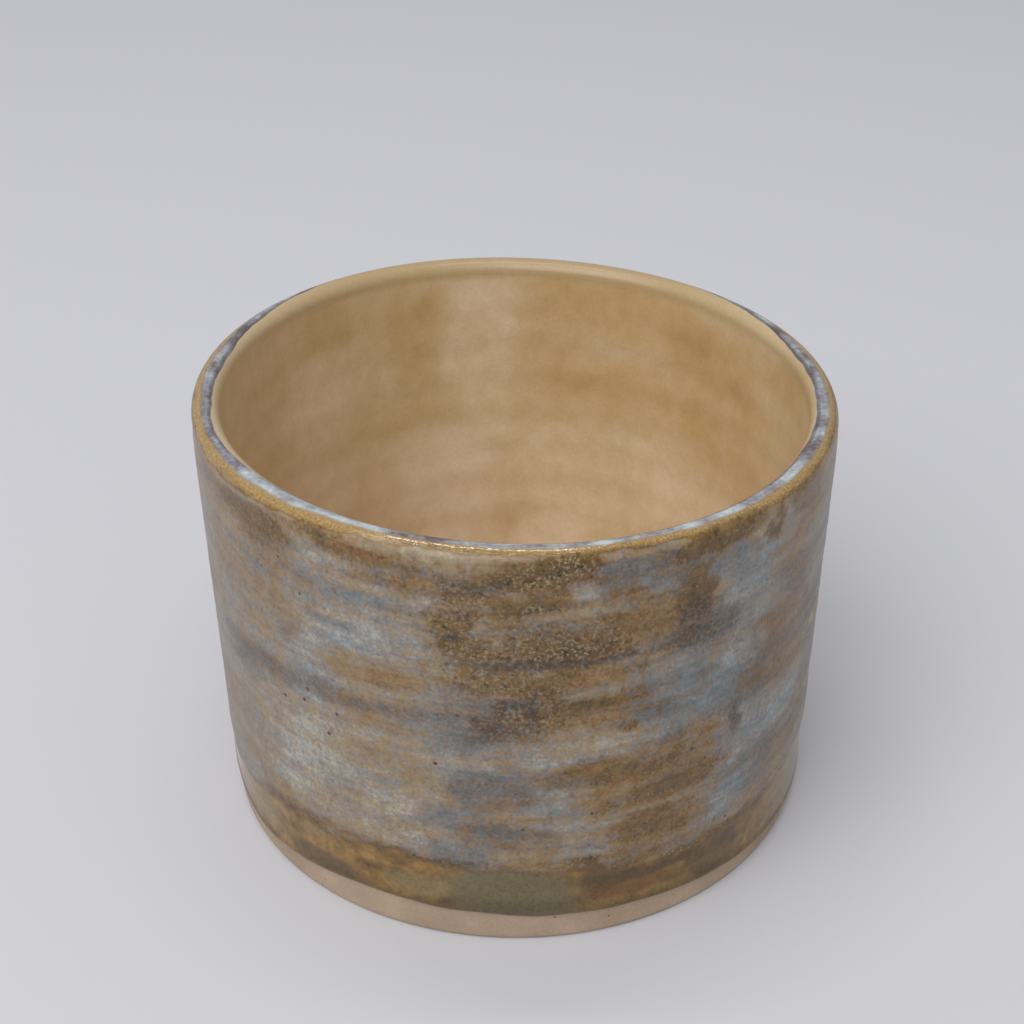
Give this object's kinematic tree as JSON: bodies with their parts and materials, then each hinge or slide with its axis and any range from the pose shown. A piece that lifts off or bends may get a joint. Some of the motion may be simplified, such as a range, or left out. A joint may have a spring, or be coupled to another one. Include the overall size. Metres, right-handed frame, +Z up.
{
  "type": "espresso cup",
  "caption": "Straight-sided handleless stoneware espresso cup with a bare clay foot, honey liner, amber first coat, brushed lilac-grey second coat and blue-grey lip, for a short coffee.",
  "frame": {"origin": "centre of the foot, on the plane that the cup stands on", "axes": "+Z up along the cup's axis, -Y towards the side that the picture shows, +X to its right"},
  "size_m": [0.0664, 0.0664, 0.047],
  "materials": {
    "bare_stoneware": "sponged bare stoneware, matt",
    "honey_liner": "glossy honey-tan glaze, lightly mottled",
    "amber_first_coat": "satin amber to olive reactive glaze",
    "blue_grey_lip": "glossy blue-grey glaze",
    "lilac_grey_second_coat": "satin lilac-grey glaze, brushed in streaks"
  },
  "bodies": {
    "root": {"stoneware_body": "bare_stoneware", "liner_glaze": "honey_liner", "base_glaze": "amber_first_coat", "lip_glaze": "blue_grey_lip", "brushed_glaze": "lilac_grey_second_coat"}
  },
  "joints": []
}
